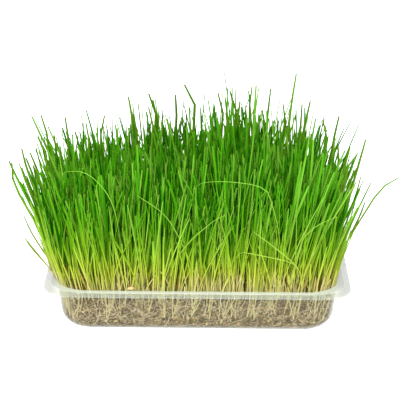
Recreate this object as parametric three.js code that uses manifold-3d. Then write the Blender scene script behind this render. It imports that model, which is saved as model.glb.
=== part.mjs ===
// Wheatgrass growing in a clear food tray. Millimetres, +Z up.
// The origin is the centre of the tray's underside, +X runs along its long side and -Y is its front.
import * as THREE from "three";
import { mergeVertices } from "three/addons/utils/BufferGeometryUtils.js";
import Module from "manifold-3d";

const wasm = await Module();
wasm.setup();

// The tray: one sheet of clear plastic, drawn down into a bowl, with a stepped rim and a short turned-down lip.
const tray = {
  halfLength: 122.5,
  halfWidth: 85,
  height: 37.2,
  wall: 0.8,
  rimCorner: 24, // plan radius at the lip
  mouthCorner: 28, // plan radius where the rim turns down into the bowl
  rimWidth: 10.4,
  lipDrop: 1.7, // the lip's edge under the outer land
  lipRound: 0.9,
  stepInset: 5.2, // from the lip to the middle of the rim's step
  stepRun: 0.6,
  stepHeight: 1.2,
  mouthRound: 1.6,
  draft: 3, // how far the walls lean in on the way down
  floorRound: 12, // radius from wall to floor
};

// The soil fills the bowl to a little under its mouth.
const soil = { top: 29.5, gap: 0.35 };

// Each bunch of seedlings has one square plug of matted roots and seed, which stands in a plain hole in the soil.
const plug = { width: 14, footWidth: 10, depth: 12, crown: 0.8, gap: 0.35 };

// The bunches stand in a loose grid, and each blade keeps to its own bunch's share of the turf.
const turf = {
  columns: 9,
  rows: 6,
  spanX: 196, // from the first column to the last
  spanY: 118,
  cornerPull: 5,
  wander: 0.5,
  bladesWide: 4, // blades of a bunch stand four by three
  bladesDeep: 3,
  rootReach: new THREE.Vector2(3.3, 2.8), // from the bunch's middle to its outer blades, at the soil
  tipReach: new THREE.Vector2(9.1, 7.9), // the same, once the blades have spread
  rootWander: 0.3,
  tipWander: 0.4,
  spreadRise: 45,
  rooted: 3,
  height: 109, // of an even blade over the soil
  heightSpread: 16,
};

// Blades near an edge lean out over it, by this much once they are whole, and a little more readily low down.
const lean = {
  left: 25, right: 15, front: 15, back: 16,
  rise: 120, whole: 100, power: 2.5, halfX: 107, halfY: 68,
};

// Neighbouring rows and columns sway different ways, by this much over the turf's height.
const sway = { reachX: 6, reachY: 4, rise: 100, waveX: 17, waveY: 14 };

// The turf is lower towards its two ends.
const endDrop = { left: 24, right: 20, power: 4 };

// How far the turf's top stands above or below its even height, along X.
const swell = [
  [-107, 2], [-80, -4], [-55, -9], [-38, -6], [-20, -9], [0, -3], [22, 7], [38, 7],
  [52, -2], [70, 1], [84, 4], [95, -2], [107, -6],
];

// A blade's sections, as shares of its length. Those well inside the turf grow straight and need fewer.
const blade = { width: 3, thickness: 1, rootScale: 0.55, bentRings: [0, 0.4, 0.86], straightRings: [0, 0.86] };
const inner = { columns: 2, rows: 1 }; // blades are straight this many columns and rows from the edge

// A few blades outgrow the rest: the column, row and place of each, and where its tip ends up.
const longBlades = [
  { column: 7, row: 3, place: 5, tip: [78, 10, 193] },
  { column: 8, row: 2, place: 7, tip: [160, -15, 112] },
  { column: 8, row: 3, place: 3, tip: [142, 8, 106] },
  { column: 8, row: 1, place: 7, tip: [134, -30, 134] },
  { column: 0, row: 2, place: 4, tip: [-154, -12, 121] },
  { column: 0, row: 3, place: 4, tip: [-145, 12, 132] },
  { column: 0, row: 4, place: 5, tip: [-129, 36, 156] },
  { column: 3, row: 4, place: 5, tip: [-39, 38, 174] },
  { column: 4, row: 5, place: 6, tip: [-14, 62, 176] },
  { column: 6, row: 5, place: 5, tip: [44, 66, 172] },
  { column: 2, row: 3, place: 6, tip: [-43, 12, 172] },
  { column: 5, row: 3, place: 5, tip: [24, 12, 176] },
];

const pointsPerCorner = 7;
const bendSteps = 4;
const seed = 20240;

const materials = {
  plastic: new THREE.MeshStandardMaterial({ color: 0xe6ebe6, roughness: 0.15, transparent: true, opacity: 0.35 }),
  soil: new THREE.MeshStandardMaterial({ color: 0x8d7a5b, roughness: 0.95 }),
  grass: new THREE.MeshStandardMaterial({ color: 0x4f9a1c, roughness: 0.55 }),
};

// A repeatable stream of numbers from 0 to 1.
function makeRandom(start) {
  let state = start >>> 0;
  return () => {
    state = (state + 0x6d2b79f5) >>> 0;
    let mixed = Math.imul(state ^ (state >>> 15), 1 | state);
    mixed = (mixed + Math.imul(mixed ^ (mixed >>> 7), 61 | mixed)) ^ mixed;
    return ((mixed ^ (mixed >>> 14)) >>> 0) / 4294967296;
  };
}

const random = makeRandom(seed);
const between = (low, high) => low + (high - low) * random();

// A closed surface through rings of equal point counts. A ring of one point closes an end to a tip.
function loft(rings) {
  const positions = [];
  const index = [];
  const starts = rings.map((ring) => {
    const start = positions.length / 3;
    ring.forEach((p) => positions.push(p.x, p.y, p.z));
    return start;
  });
  for (let r = 0; r + 1 < rings.length; r++) {
    const count = rings[r].length;
    for (let i = 0; i < count; i++) {
      const next = (i + 1) % count;
      const a = starts[r] + i;
      const b = starts[r] + next;
      if (rings[r + 1].length === 1) {
        index.push(a, b, starts[r + 1]);
      } else {
        index.push(a, b, starts[r + 1] + next, a, starts[r + 1] + next, starts[r + 1] + i);
      }
    }
  }
  capEnd(rings[0], starts[0], true, index);
  capEnd(rings.at(-1), starts.at(-1), false, index);
  const geometry = new THREE.BufferGeometry();
  geometry.setAttribute("position", new THREE.Float32BufferAttribute(positions, 3));
  geometry.setIndex(index);
  return geometry;
}

// Fills a flat end ring with triangles that all start at its first point.
function capEnd(ring, start, turned, index) {
  for (let i = 1; i + 1 < ring.length; i++) {
    index.push(start, ...(turned ? [start + i + 1, start + i] : [start + i, start + i + 1]));
  }
}

function toSolid(geometry) {
  const merged = mergeVertices(geometry, 1e-4);
  return new wasm.Manifold(
    new wasm.Mesh({
      numProp: 3,
      vertProperties: new Float32Array(merged.attributes.position.array),
      triVerts: new Uint32Array(merged.index.array),
    }),
  );
}

function toGeometry(made) {
  const { vertProperties, triVerts } = made.getMesh();
  const geometry = new THREE.BufferGeometry();
  geometry.setAttribute("position", new THREE.BufferAttribute(vertProperties, 3));
  geometry.setIndex(new THREE.BufferAttribute(triVerts, 1));
  return geometry;
}

function namedMesh(name, geometry, material) {
  const mesh = new THREE.Mesh(geometry, material);
  mesh.name = name;
  return mesh;
}

// A rounded rectangle at one height, anticlockwise from above.
function roundedRing(halfLength, halfWidth, radius, z) {
  const ring = [];
  for (let corner = 0; corner < 4; corner++) {
    const signX = corner === 0 || corner === 3 ? 1 : -1;
    const signY = corner < 2 ? 1 : -1;
    const from = (corner * Math.PI) / 2;
    const arc = new THREE.EllipseCurve(
      signX * (halfLength - radius),
      signY * (halfWidth - radius),
      radius,
      radius,
      from,
      from + Math.PI / 2,
    );
    arc.getPoints(pointsPerCorner - 1).forEach((p) => ring.push(new THREE.Vector3(p.x, p.y, z)));
  }
  return ring;
}

// The corner radius grows across the rim, from the lip to the mouth, and then shrinks down the bowl.
function trayRing({ x: inset, y: z }) {
  const acrossRim = Math.min(Math.max(inset / tray.rimWidth, 0), 1);
  const downBowl = Math.max(inset - tray.rimWidth, 0);
  const radius = THREE.MathUtils.lerp(tray.rimCorner, tray.mouthCorner, acrossRim) - downBowl;
  return roundedRing(tray.halfLength - inset, tray.halfWidth - inset, radius, z);
}

// The rim's upper face, as inset from the lip and height: outer land, step, inner land and the turn down.
function rimSection() {
  const { height, stepHeight, stepInset, stepRun, lipDrop, lipRound, rimWidth, mouthRound } = tray;
  const landTop = height - stepHeight;
  const turn = mouthRound * (1 - Math.SQRT1_2);
  return [
    new THREE.Vector2(0, landTop - lipDrop),
    new THREE.Vector2(lipRound * (1 - Math.SQRT1_2), landTop - lipRound * (1 - Math.SQRT1_2)),
    new THREE.Vector2(lipRound, landTop),
    new THREE.Vector2(stepInset - stepRun / 2, landTop),
    new THREE.Vector2(stepInset + stepRun / 2, height),
    new THREE.Vector2(rimWidth - mouthRound, height),
    new THREE.Vector2(rimWidth - turn, height - turn),
  ];
}

// The bowl's inner face: the mouth's edge, the sloping wall, and the round bend into the floor.
function bowlSection() {
  const { height, rimWidth, mouthRound, draft, floorRound, wall } = tray;
  const bendX = rimWidth + draft + floorRound;
  const bend = new THREE.EllipseCurve(bendX, wall + floorRound, floorRound, floorRound, Math.PI, Math.PI * 1.5);
  return [new THREE.Vector2(rimWidth, height - mouthRound), ...bend.getPoints(bendSteps)];
}

// The same line, moved a given distance to its under side.
function offsetSection(section, distance) {
  return section.map((point, i) => {
    const [start, end] = [Math.max(i - 1, 0), Math.min(i + 1, section.length - 1)];
    const [before, after] = [section[start], section[end]];
    const arriving = (i === start ? after.clone().sub(point) : point.clone().sub(before)).normalize();
    const leaving = (i === end ? point.clone().sub(before) : after.clone().sub(point)).normalize();
    const normal = new THREE.Vector2(arriving.y + leaving.y, -arriving.x - leaving.x).normalize();
    const mitre = normal.dot(new THREE.Vector2(arriving.y, -arriving.x));
    return point.clone().addScaledVector(normal, distance / mitre);
  });
}

function makeTray() {
  const upper = [...rimSection(), ...bowlSection()];
  const under = offsetSection(upper, tray.wall);
  under.at(-1).y = 0;
  const rings = [...under.toReversed(), ...upper].map(trayRing);
  return namedMesh("tray", loft(rings), materials.plastic);
}

// The soil block lies a small gap inside the bowl, and its top is level.
function makeSoil(plugs) {
  const [mouth, wallFoot, ...bend] = offsetSection(bowlSection(), -soil.gap);
  const topEdge = wallFoot.clone().lerp(mouth, (soil.top - wallFoot.y) / (mouth.y - wallFoot.y));
  let made = toSolid(loft([...bend.toReversed(), wallFoot, topEdge].map(trayRing)));
  plugs.forEach((centre) => {
    made = made.subtract(toSolid(plugGeometry(centre, plug.gap)));
  });
  return namedMesh("soil", toGeometry(made), materials.soil);
}

// A root plug, or with a gap the plain hole that it stands in.
function plugGeometry(centre, gap) {
  const square = (width, z) => {
    const half = width / 2 + gap;
    const corners = [[1, 1], [-1, 1], [-1, -1], [1, -1]];
    return corners.map(([x, y]) => new THREE.Vector3(centre.x + x * half, centre.y + y * half, z));
  };
  return loft([square(plug.footWidth, soil.top - plug.depth - gap), square(plug.width, soil.top + plug.crown)]);
}

// How far the turf has leaned out, from 0 at the soil to 1 where it is whole.
function leanShare(z) {
  const eased = (rise) => 1 - Math.exp(-rise / lean.rise);
  return eased(Math.max(z - soil.top, 0)) / eased(lean.whole);
}

// Where a place in the turf, given as it would be if all grew upright, lies at height z.
function grown(place, z) {
  const risen = Math.max(z - soil.top, 0) / sway.rise;
  const x = place.x + sway.reachX * risen * Math.sin(place.y / sway.waveY);
  const y = place.y + sway.reachY * risen * Math.sin(x / sway.waveX);
  const reachX = x < 0 ? lean.left : lean.right;
  const reachY = y < 0 ? lean.front : lean.back;
  const outX = Math.sign(x) * reachX * Math.abs(x / lean.halfX) ** lean.power;
  const outY = Math.sign(y) * reachY * Math.abs(y / lean.halfY) ** lean.power;
  return new THREE.Vector3(x + outX * leanShare(z), y + outY * leanShare(z), z);
}

// One blade: a flat, keeled strip from inside its plug to a pointed tip.
function bladeGeometry(root, spread, tipZ, longTip, facing, sections) {
  const baseZ = soil.top - turf.rooted;
  const drift = longTip ? longTip.clone().sub(grown(spread, tipZ)) : new THREE.Vector3();
  const along = (t) => {
    const z = THREE.MathUtils.lerp(baseZ, tipZ, t);
    const opened = THREE.MathUtils.smoothstep(z, soil.top, soil.top + turf.spreadRise);
    return grown(root.clone().lerp(spread, opened), z).addScaledVector(drift, t ** 3);
  };
  const forward = along(0.5).sub(along(0)).normalize();
  const side = new THREE.Vector3(Math.cos(facing), Math.sin(facing), 0);
  side.addScaledVector(forward, -side.dot(forward)).normalize();
  const keel = forward.clone().cross(side);
  const rings = sections.map((t) => {
    const scale = t === 0 ? blade.rootScale : 1;
    const here = along(t);
    return [
      here.clone().addScaledVector(side, (-blade.width / 2) * scale),
      here.clone().addScaledVector(side, (blade.width / 2) * scale),
      here.clone().addScaledVector(keel, blade.thickness * scale),
    ];
  });
  return loft([...rings, [along(1)]]);
}

// The swell at a place along X, straight from one of its points to the next.
function swellAt(x) {
  const after = swell.findIndex(([place]) => place >= x);
  const [startX, start] = swell[Math.max(after - 1, 0)];
  const [endX, end] = swell[Math.max(after, 1)];
  return THREE.MathUtils.mapLinear(x, startX, endX, start, end);
}

// How high the turf stands over the soil around a bunch.
function turfHeight(centre) {
  const drop = centre.x < 0 ? endDrop.left : endDrop.right;
  return turf.height + swellAt(centre.x) - drop * Math.abs(centre.x / lean.halfX) ** endDrop.power;
}

// A bunch: its plug and its blades, joined as they grow.
function makeBunch(column, row, centre) {
  const fromEnd = Math.min(column, turf.columns - 1 - column);
  const fromSide = Math.min(row, turf.rows - 1 - row);
  const straight = fromEnd >= inner.columns && fromSide >= inner.rows;
  const sections = straight ? blade.straightRings : blade.bentRings;
  let made = toSolid(plugGeometry(centre, 0));
  for (let place = 0; place < turf.bladesWide * turf.bladesDeep; place++) {
    const across = ((place % turf.bladesWide) / (turf.bladesWide - 1)) * 2 - 1;
    const deep = (Math.floor(place / turf.bladesWide) / (turf.bladesDeep - 1)) * 2 - 1;
    const placed = (reach, wander) =>
      new THREE.Vector3(
        centre.x + across * reach.x + between(-wander, wander),
        centre.y + deep * reach.y + between(-wander, wander),
        0,
      );
    const root = placed(turf.rootReach, turf.rootWander);
    const spread = placed(turf.tipReach, turf.tipWander);
    const long = longBlades.find((b) => b.column === column && b.row === row && b.place === place);
    const longTip = long ? new THREE.Vector3(...long.tip) : null;
    const evenZ = soil.top + turfHeight(centre) + between(-turf.heightSpread, turf.heightSpread);
    const tipZ = longTip ? longTip.z : evenZ;
    const facing = between(0, Math.PI * 2);
    made = made.add(toSolid(bladeGeometry(root, spread, tipZ, longTip, facing, sections)));
  }
  return namedMesh(`grass_bunch_${row + 1}_${column + 1}`, toGeometry(made), materials.grass);
}

// The bunches' middles, row by row from the front, with the four corner ones drawn in from the tray's round corners.
function bunchCentres() {
  const centres = [];
  for (let row = 0; row < turf.rows; row++) {
    for (let column = 0; column < turf.columns; column++) {
      const x = (column / (turf.columns - 1) - 0.5) * turf.spanX;
      const y = (row / (turf.rows - 1) - 0.5) * turf.spanY;
      const inCorner = (column === 0 || column === turf.columns - 1) && (row === 0 || row === turf.rows - 1);
      const pull = inCorner ? turf.cornerPull : 0;
      const centre = new THREE.Vector3(
        x - Math.sign(x) * pull + between(-turf.wander, turf.wander),
        y - Math.sign(y) * pull + between(-turf.wander, turf.wander),
        0,
      );
      centres.push({ column, row, centre });
    }
  }
  return centres;
}

const wheatgrassTray = new THREE.Group();
const bunches = bunchCentres();
wheatgrassTray.add(makeTray());
wheatgrassTray.add(makeSoil(bunches.map((b) => b.centre)));
bunches.forEach(({ column, row, centre }) => wheatgrassTray.add(makeBunch(column, row, centre)));

export default wheatgrassTray;
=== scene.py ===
import math
import random

import bmesh
import bpy
import numpy as np
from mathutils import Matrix, Quaternion, Vector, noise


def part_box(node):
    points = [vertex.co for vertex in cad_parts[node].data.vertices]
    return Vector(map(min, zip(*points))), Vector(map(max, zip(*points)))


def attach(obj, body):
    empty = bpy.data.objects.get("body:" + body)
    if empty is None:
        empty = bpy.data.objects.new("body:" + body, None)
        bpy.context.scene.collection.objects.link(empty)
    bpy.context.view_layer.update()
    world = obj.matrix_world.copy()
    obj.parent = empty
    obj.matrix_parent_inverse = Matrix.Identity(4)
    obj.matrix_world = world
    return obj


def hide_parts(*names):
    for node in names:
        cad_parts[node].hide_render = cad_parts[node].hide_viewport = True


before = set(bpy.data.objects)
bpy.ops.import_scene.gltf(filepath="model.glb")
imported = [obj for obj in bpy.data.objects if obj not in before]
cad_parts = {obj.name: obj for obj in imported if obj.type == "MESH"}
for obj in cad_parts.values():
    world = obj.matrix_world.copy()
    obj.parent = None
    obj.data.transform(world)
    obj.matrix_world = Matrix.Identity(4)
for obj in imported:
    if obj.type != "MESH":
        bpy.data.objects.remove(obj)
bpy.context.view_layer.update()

mm = 0.001
chance = random.Random(41)
print("frame loaded:", len(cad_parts), "nodes")


def between(low, high):
    return low + (high - low) * chance.random()


def anyAngle():
    return between(0, 2 * math.pi)


def paint(red, green, blue):
    # a colour picked on screen, 0 to 255, as the linear colour that shaders take
    def linear(value):
        share = value / 255
        return share / 12.92 if share <= 0.04045 else ((share + 0.055) / 1.055) ** 2.4
    return (linear(red), linear(green), linear(blue), 1.0)


def noneSelected():
    if bpy.context.mode != "OBJECT":
        bpy.ops.object.mode_set(mode="OBJECT")
    bpy.ops.object.select_all(action="DESELECT")


def selectOnly(*pieces):
    noneSelected()
    for piece in pieces:
        piece.select_set(True)
    bpy.context.view_layer.objects.active = pieces[0]


def selectWhere(piece, kind, chosen):
    # in edit mode, selects the vertices or edges that pass a test, and nothing else
    bpy.ops.mesh.select_all(action="DESELECT")
    shape = bmesh.from_edit_mesh(piece.data)
    for part in getattr(shape, kind):
        if chosen(part):
            part.select_set(True)
    bmesh.update_edit_mesh(piece.data)


def smooth(piece, angle):
    selectOnly(piece)
    bpy.ops.object.shade_smooth_by_angle(angle=math.radians(angle))


def applied(piece, kind, **settings):
    selectOnly(piece)
    modifier = piece.modifiers.new(kind.lower(), kind)
    for setting, value in settings.items():
        setattr(modifier, setting, value)
    bpy.ops.object.modifier_apply(modifier=modifier.name)


def finishPiece(piece, material, slotName, *nodes):
    piece.data.materials.clear()
    piece.data.materials.append(material)
    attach(piece, "root")
    if nodes:
        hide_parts(*nodes)


def finishJoined(name, pieces, material, slotName, *nodes):
    selectOnly(*pieces)
    bpy.ops.object.join()
    whole = bpy.context.object
    whole.name = whole.data.name = name
    finishPiece(whole, material, slotName, *nodes)
    print(name + ":", len(pieces), "parts,", len(whole.data.polygons), "faces")


def coordinates(mesh):
    flat = np.empty(len(mesh.vertices) * 3)
    mesh.vertices.foreach_get("co", flat)
    return flat.reshape(-1, 3)


def setCoordinates(mesh, points):
    mesh.vertices.foreach_set("co", np.asarray(points, np.float32).ravel())
    mesh.update()


def copyPlaced(template, points, **attributes):
    # a copy with its own mesh, its points already in place, and one value of each attribute all over
    piece = template.copy()
    piece.data = template.data.copy()
    bpy.context.collection.objects.link(piece)
    setCoordinates(piece.data, points)
    for name, value in attributes.items():
        attribute = piece.data.attributes.new(name, "FLOAT", "POINT")
        attribute.data.foreach_set("value", np.full(len(points), value, np.float32))
    return piece


class Wire:
    # a node's output that can be added, multiplied and so on as a number
    def __init__(self, look, socket):
        self.look = look
        self.socket = socket

    def sum(self, operation, first, second):
        return self.look.node("ShaderNodeMath", {"operation": operation}, {0: first, 1: second})["Value"]

    def __add__(self, other):
        return self.sum("ADD", self, other)

    def __radd__(self, other):
        return self.sum("ADD", other, self)

    def __sub__(self, other):
        return self.sum("SUBTRACT", self, other)

    def __rsub__(self, other):
        return self.sum("SUBTRACT", other, self)

    def __mul__(self, other):
        return self.sum("MULTIPLY", self, other)

    def __rmul__(self, other):
        return self.sum("MULTIPLY", other, self)

    def __truediv__(self, other):
        return self.sum("DIVIDE", self, other)

    def __pow__(self, other):
        return self.sum("POWER", self, other)
    def wave(self):
        return self.sum("SINE", self, 0.0)

    def size(self):
        return self.sum("ABSOLUTE", self, 0.0)

    def held(self):
        # kept from 0 to 1
        return self.sum("MINIMUM", self.sum("MAXIMUM", self, 0.0), 1.0)

    def rise(self, low, high):
        # 0 up to the low value and 1 from the high one
        return ((self - low) / (high - low)).held()


class Look:
    # one material and the nodes in it
    def __init__(self, name):
        self.material = bpy.data.materials.new(name)
        self.material.use_nodes = True
        self.tree = self.material.node_tree
        self.tree.nodes.clear()

    def node(self, kind, settings, values):
        made = self.tree.nodes.new(kind)
        for setting, value in settings.items():
            if setting == "stops":
                self.setStops(made.color_ramp, value)
            elif setting == "interpolation":
                made.color_ramp.interpolation = value
            else:
                setattr(made, setting, value)
        for socket, value in values.items():
            if isinstance(value, Wire):
                self.tree.links.new(value.socket, made.inputs[socket])
            else:
                made.inputs[socket].default_value = value
        return {output.name: Wire(self, output) for output in made.outputs if output.enabled}

    def setStops(self, ramp, stops):
        while len(ramp.elements) < len(stops):
            ramp.elements.new(1.0)
        for element, (place, colour) in zip(ramp.elements, stops):
            element.position = place
            element.color = colour

    def place(self):
        return self.node("ShaderNodeTexCoord", {}, {})["Object"]

    def split(self, vector):
        return self.node("ShaderNodeSeparateXYZ", {}, {"Vector": vector})

    def attribute(self, name):
        return self.node("ShaderNodeAttribute", {"attribute_name": name}, {})["Fac"]

    def mapped(self):
        # the piece's own map: X across and Y along
        return self.split(self.node("ShaderNodeTexCoord", {}, {})["UV"])

    def noise(self, scale, detail):
        values = {"Vector": self.place(), "Scale": scale, "Detail": detail, "Roughness": 0.55}
        return self.node("ShaderNodeTexNoise", {}, values)["Fac"]

    def cells(self, scale):
        return self.node("ShaderNodeTexVoronoi", {}, {"Vector": self.place(), "Scale": scale})

    def ramp(self, factor, stops, interpolation="LINEAR"):
        settings = {"stops": stops, "interpolation": interpolation}
        return self.node("ShaderNodeValToRGB", settings, {"Fac": factor})["Color"]

    def blend(self, factor, first, second):
        return self.node("ShaderNodeMix", {"data_type": "RGBA"}, {0: factor, 6: first, 7: second})["Result"]

    def bump(self, height, distance, strength=1.0):
        values = {"Height": height, "Distance": distance, "Strength": strength}
        return self.node("ShaderNodeBump", {}, values)["Normal"]

    def shader(self, values):
        return self.node("ShaderNodeBsdfPrincipled", {}, values)["BSDF"]

    def layered(self, factor, under, over):
        return self.node("ShaderNodeMixShader", {}, {0: factor, 1: under, 2: over})["Shader"]

    def surface(self, shader):
        self.node("ShaderNodeOutputMaterial", {}, {"Surface": shader})
        return self.material

    def matter(self, form, colour, grain, relief, strength=1.0):
        # a plain solid finish: a colour, a roughness that the grain varies, a gloss and a relief
        even, varied = form["roughness"]
        return self.surface(self.shader({
            "Base Color": colour,
            "Roughness": even + grain * varied,
            "Specular IOR Level": form["gloss"],
            "Normal": self.bump(relief, form["relief"], strength),
        }))


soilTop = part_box("soil")[1].z
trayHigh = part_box("tray")[1]
rimTop = trayHigh.z

grassPaint = {
    "fade": 92 * mm,  # height over which the colour turns
    "stops": [
        (0.00, paint(190, 182, 132)),
        (0.10, paint(182, 178, 98)),
        (0.22, paint(166, 178, 50)),
        (0.42, paint(130, 171, 30)),
        (0.66, paint(86, 149, 14)),
        (1.00, paint(69, 152, 9)),
    ],
    "patches": 60.0,
    "shift": 0.2,  # how far tone and patches move a blade along the stops
    "upperRise": 3.0,  # dark, light, veins and the rib's sheen come in over the fade's first third
    "footTone": 0.1,  # what there is of dark and light at the foot
    "dark": paint(0, 74, 0),
    "darkening": 1.7,
    "light": paint(160, 199, 84),
    "lightFrom": 0.58,  # tone over which a blade is paler; only outer blades take it, as painted light
    "lightening": 1.2,
    "veins": 44.0,
    "veinShare": 0.2,
    # a pale midrib with a painted sheen, shown only on outer blades
    "ribAndSheen": paint(140, 188, 60),
    "ribThin": 9.0,
    "ribFrom": 0.15,  # tone over which the middle rib shows
    "ribShare": 1.1,
    "tip": paint(104, 136, 40),
    "tipFrom": 0.96,  # of a blade's length
    "tipShare": 0.4,
    "dry": [
        (0.0, paint(64, 38, 8)),
        (0.45, paint(120, 92, 36)),
        (0.8, paint(182, 162, 94)),
        (1.0, paint(214, 202, 144)),
    ],
    "deep": paint(0, 90, 3),  # painted shade: the darker green of blades well inside the turf
    "deepFoot": paint(46, 64, 2),
    "deepRise": (0.08, 0.28),  # shares of the fade, from all of the foot's painted shade to all of the other
    "deepShare": 0.96,
    "roughness": (0.46, 0.12),  # even, and what the grain adds
    "gloss": 0.02,
    "relief": 0.06 * mm,
}


def grassMaterial():
    look = Look("grassBlade")
    form = grassPaint
    across = look.mapped()
    tone = look.attribute("tone")
    depth = look.attribute("depth")
    # painted light: the paler tone, the rib's sheen and the tip show only on the outer blades, where light
    # reaches
    litOutside = (1.0 - depth * 2.0).held()
    patches = look.noise(form["patches"], 2.0)
    climb = (look.split(look.place())["Z"] - soilTop) / form["fade"]
    climb = climb + (0.5 - tone) * form["shift"] + (patches - 0.5) * form["shift"]
    upper = (climb * form["upperRise"]).held()
    toned = upper + form["footTone"]
    veins = (across["X"] * form["veins"]).wave() * 0.5 + 0.5
    ribAndSheen = (1.0 - (across["X"] - 0.5).size() * form["ribThin"]).held()
    darker = ((0.5 - tone) * form["darkening"] * toned).held()
    lighter = ((tone - form["lightFrom"]) * form["lightening"] * toned * litOutside).held()
    ribbed = ribAndSheen * ((tone - form["ribFrom"]) * form["ribShare"]).held() * upper * litOutside
    tipped = across["Y"].rise(form["tipFrom"], 1.0) * litOutside * form["tipShare"]
    leaf = look.ramp(climb.held(), form["stops"])
    leaf = look.blend(darker, leaf, form["dark"])
    leaf = look.blend(lighter, leaf, form["light"])
    leaf = look.blend(veins * form["veinShare"] * upper, leaf, form["dark"])
    leaf = look.blend(ribbed, leaf, form["ribAndSheen"])
    leaf = look.blend(tipped, leaf, form["tip"])
    leaf = look.blend(look.attribute("dryness"), leaf, look.ramp(tone, form["dry"]))
    # painted shade: blades well inside the turf and below its top turn to a darker green
    deep = look.blend(climb.rise(*form["deepRise"]), form["deepFoot"], form["deep"])
    leaf = look.blend(depth * form["deepShare"], leaf, deep)
    return look.matter(form, leaf, patches, veins + ribAndSheen * 2.0, 0.5)


mediumPaint = {
    "grains": 560.0,
    "dust": 1100.0,
    "lumps": 90.0,
    "stops": [
        (0.00, paint(44, 34, 20)),
        (0.20, paint(78, 66, 40)),
        (0.42, paint(112, 98, 62)),
        (0.62, paint(82, 70, 40)),
        (0.80, paint(144, 129, 86)),
        (1.00, paint(192, 178, 136)),
    ],
    "grainShare": 0.75,  # how far grains and dust move the colour along the stops
    "dustShare": 0.5,
    "darker": 0.12,  # and how far back all of it is moved
    "shade": paint(46, 34, 18),
    "shadeShare": 0.6,
    "dampAndShade": paint(40, 26, 8),  # at the top, between the stems: damp, and painted shade in the gaps
    "dampAndShadeShare": 0.9,
    "dampAndShadeZ": (soilTop - 1.4 * mm, soilTop - 0.2 * mm),
    "roughness": (0.78, 0.2),
    "gloss": 0.25,
    "relief": 0.8 * mm,
}


def mediumMaterial():
    look = Look("growingMedium")
    form = mediumPaint
    cells = look.cells(form["grains"])
    dust = look.noise(form["dust"], 4.0)
    lumps = look.noise(form["lumps"], 3.0)
    pick = look.split(cells["Color"])["X"]
    along = pick * form["grainShare"] + dust * form["dustShare"] - form["darker"]
    colour = look.ramp(along.held(), form["stops"])
    colour = look.blend(((0.5 - lumps) * 3.0).held() * form["shadeShare"], colour, form["shade"])
    # damp and painted shade: the top darkens between the stems
    dampAndShade = look.split(look.place())["Z"].rise(*form["dampAndShadeZ"]) * form["dampAndShadeShare"]
    colour = look.blend(dampAndShade, colour, form["dampAndShade"])
    return look.matter(form, colour, dust, cells["Distance"] * -1.0 + dust * 0.6)


chipPaint = {
    "stops": [
        (0.00, paint(46, 38, 22)),
        (0.22, paint(84, 72, 42)),
        (0.42, paint(116, 102, 66)),
        (0.60, paint(156, 140, 98)),
        (0.76, paint(188, 174, 132)),
        (0.86, paint(138, 88, 54)),
        (0.94, paint(118, 116, 92)),
    ],
    "grain": 700.0,
    "shadeUnder": 0.62,  # grain under this takes the medium's shade
    "shadeShare": 0.9,
    "roughness": (0.65, 0.25),
    "gloss": 0.3,
    "relief": 0.3 * mm,
}


def chipMaterial():
    look = Look("mediumChip")
    form = chipPaint
    grain = look.noise(form["grain"], 3.0)
    shaded = (form["shadeUnder"] - grain).held() * form["shadeShare"]
    colour = look.ramp(look.attribute("tone"), form["stops"], "CONSTANT")
    return look.matter(form, look.blend(shaded, colour, mediumPaint["shade"]), grain, grain)


rootPaint = {
    "stops": [(0.0, paint(180, 164, 128)), (0.5, paint(204, 190, 156)), (1.0, paint(226, 216, 188))],
    "stain": paint(150, 130, 80),
    "stainFrom": 0.45,
    "streaks": 260.0,
    "roughness": (0.5, 0.2),
    "gloss": 0.5,
    "relief": 0.1 * mm,
}


def rootMaterial():
    look = Look("paleRoot")
    form = rootPaint
    streaks = look.noise(form["streaks"], 3.0)
    colour = look.ramp(look.attribute("tone"), form["stops"])
    colour = look.blend((streaks - form["stainFrom"]).held(), colour, form["stain"])
    return look.matter(form, colour, streaks, streaks)


seedPaint = {
    "stops": [(0.0, paint(132, 98, 58)), (0.6, paint(180, 148, 100)), (1.0, paint(206, 186, 124))],
    "stain": paint(116, 74, 34),
    "stainFrom": 0.4,
    "grain": 500.0,
    "crease": paint(96, 60, 28),
    "creaseThin": 14.0,
    "creaseShare": 0.7,
    "roughness": (0.45, 0.2),
    "gloss": 0.5,
    "relief": 0.2 * mm,
}


def seedMaterial():
    look = Look("wheatSeed")
    form = seedPaint
    grain = look.noise(form["grain"], 4.0)
    crease = (1.0 - (look.mapped()["X"] - 0.5).size() * form["creaseThin"]).held()
    colour = look.ramp(look.attribute("tone"), form["stops"])
    colour = look.blend((grain - form["stainFrom"]).held(), colour, form["stain"])
    colour = look.blend(crease * form["creaseShare"], colour, form["crease"])
    return look.matter(form, colour, grain, grain - crease)


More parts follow.
